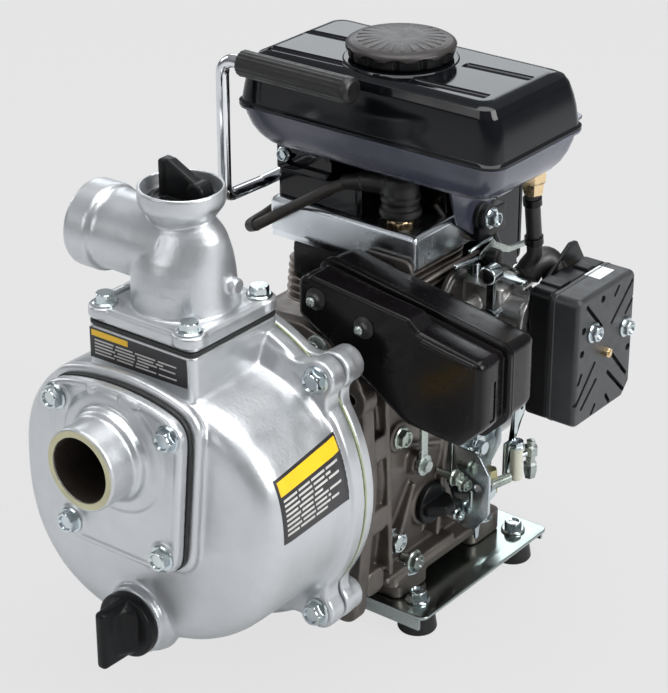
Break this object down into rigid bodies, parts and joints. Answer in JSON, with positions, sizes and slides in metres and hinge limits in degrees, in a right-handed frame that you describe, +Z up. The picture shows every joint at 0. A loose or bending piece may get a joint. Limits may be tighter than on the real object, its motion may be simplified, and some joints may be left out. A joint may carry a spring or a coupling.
{
  "type": "centrifugal water pump",
  "caption": "Self-priming centrifugal water pump driven by a small petrol engine on a steel base plate, with suction flange, discharge elbow and priming cap.",
  "frame": {"origin": "middle of the bounding box's footprint, on the floor under the rubber feet", "axes": "+Z up; -Y is the suction side, so the shaft line runs along +Y from pump to starter; +X is the exhaust and air filter side"},
  "size_m": [0.254, 0.356, 0.359],
  "materials": {
    "silver_paint": "silver aluminium paint over sand casting, satin",
    "zinc": "bright zinc plate",
    "engine_casting": "brown-grey die casting, dull",
    "black_enamel": "gloss black stoved enamel",
    "black_plastic": "moulded black nylon",
    "rubber": "black nitrile rubber",
    "chrome": "bright chromed bar",
    "iron": "grey iron, as cast",
    "cap_plastic": "dark grey-brown moulded plastic",
    "foam": "open-cell filter foam",
    "ceramic": "glazed alumina",
    "steel": "machined steel"
  },
  "bodies": {
    "pump_set": {"air_filter_case": "black_plastic", "air_filter_cover": "black_plastic", "air_filter_element": "foam", "back_plate": "silver_paint", "base_plate": "zinc", "carburettor": "steel", "carry_handle": "chrome", "casing_bolt_1": "zinc", "casing_bolt_2": "zinc", "casing_bolt_3": "zinc", "casing_bolt_4": "zinc", "casing_gasket": "rubber", "control_bracket": "zinc", "cooling_shroud": "zinc", "crankcase": "engine_casting", "crankcase_cover": "engine_casting", "cylinder": "engine_casting", "cylinder_head": "engine_casting", "discharge_elbow": "silver_paint", "discharge_gasket": "rubber", "fan_housing": "black_enamel", "foot_1": "rubber", "foot_2": "rubber", "foot_3": "rubber", "foot_4": "rubber", "fuel_hose": "rubber", "fuel_tank_lower": "black_enamel", "fuel_tank_upper": "black_enamel", "handle_grip": "rubber", "inlet_bolt_1": "zinc", "inlet_bolt_2": "zinc", "inlet_bolt_3": "zinc", "inlet_bolt_4": "zinc", "inlet_flange": "silver_paint", "inlet_gasket": "rubber", "muffler_front": "black_enamel", "muffler_rear": "black_enamel", "plug_cap": "rubber", "pump_casing": "silver_paint", "recoil_cover": "black_enamel", "seal_seat": "ceramic", "spark_plug": "ceramic", "tank_bracket": "black_enamel", "volute": "iron"},
    "rotor": {"crankshaft": "steel", "impeller": "iron", "seal_head": "rubber", "flywheel": "engine_casting"},
    "flap": {"inlet_flap": "rubber"},
    "priming_cap": {"priming_cap": "black_plastic"},
    "drain_plug": {"drain_plug": "black_plastic"},
    "oil_plug": {"oil_plug": "black_plastic"},
    "fuel_cap": {"fuel_cap": "cap_plastic"},
    "piston": {"piston": "steel"},
    "choke_lever": {"choke_lever": "steel"},
    "throttle_lever": {"throttle_lever": "steel"},
    "governor_arm": {"governor_arm": "zinc"},
    "speed_lever": {"speed_lever": "zinc"},
    "starter_grip": {"starter_grip": "black_plastic"},
    "starter_pulley": {"starter_pulley": "black_plastic"}
  },
  "joints": [
    {"name": "crank_spin", "type": "hinge", "parent": "pump_set", "child": "rotor", "pos_m": [-0.0292, 0.068, 0.127], "axis": [0, 1, 0], "continuous": true},
    {"name": "flap_swing", "type": "hinge", "parent": "pump_set", "child": "flap", "pos_m": [-0.0292, -0.143, 0.192], "axis": [1, 0, 0], "range_deg": [0, 50]},
    {"name": "priming_cap_lift", "type": "slide", "parent": "pump_set", "child": "priming_cap", "axis": [0, 0, 1], "range_m": [0, 0.03]},
    {"name": "drain_plug_out", "type": "slide", "parent": "pump_set", "child": "drain_plug", "axis": [0, -1, 0], "range_m": [0, 0.03]},
    {"name": "oil_plug_out", "type": "slide", "parent": "pump_set", "child": "oil_plug", "axis": [1, 0, 0], "range_m": [0, 0.025]},
    {"name": "fuel_cap_lift", "type": "slide", "parent": "pump_set", "child": "fuel_cap", "axis": [0, 0, 1], "range_m": [0, 0.025]},
    {"name": "piston_stroke", "type": "slide", "parent": "pump_set", "child": "piston", "axis": [-0.1045, 0, -0.9945], "range_m": [0, 0.036]},
    {"name": "choke_turn", "type": "hinge", "parent": "pump_set", "child": "choke_lever", "pos_m": [0.0708, 0.062, 0.198], "axis": [0, -1, 0], "range_deg": [0, 60]},
    {"name": "governor_swing", "type": "hinge", "parent": "pump_set", "child": "governor_arm", "pos_m": [0.0488, 0.027, 0.108], "axis": [1, 0, 0], "range_deg": [0, 16]},
    {"name": "throttle_turn", "type": "hinge", "parent": "pump_set", "child": "throttle_lever", "pos_m": [0.0558, 0.084, 0.212], "axis": [0, 0, -1], "range_deg": [0, 40]},
    {"name": "speed_lever_turn", "type": "hinge", "parent": "pump_set", "child": "speed_lever", "pos_m": [0.0453, 0.09, 0.092], "axis": [1, 0, 0], "range_deg": [-30, 30]},
    {"name": "starter_pull", "type": "slide", "parent": "pump_set", "child": "starter_grip", "axis": [-1, 0, 0], "range_m": [0, 0.3]},
    {"name": "starter_pulley_turn", "type": "hinge", "parent": "pump_set", "child": "starter_pulley", "pos_m": [-0.0292, 0.165, 0.127], "axis": [0, -1, 0], "range_deg": [0, 345]}
  ],
  "couplings": [
    {"joint": "throttle_turn", "follows": "governor_swing", "ratio": 2.5},
    {"joint": "starter_pulley_turn", "follows": "starter_pull", "rad_per_m": 20}
  ]
}
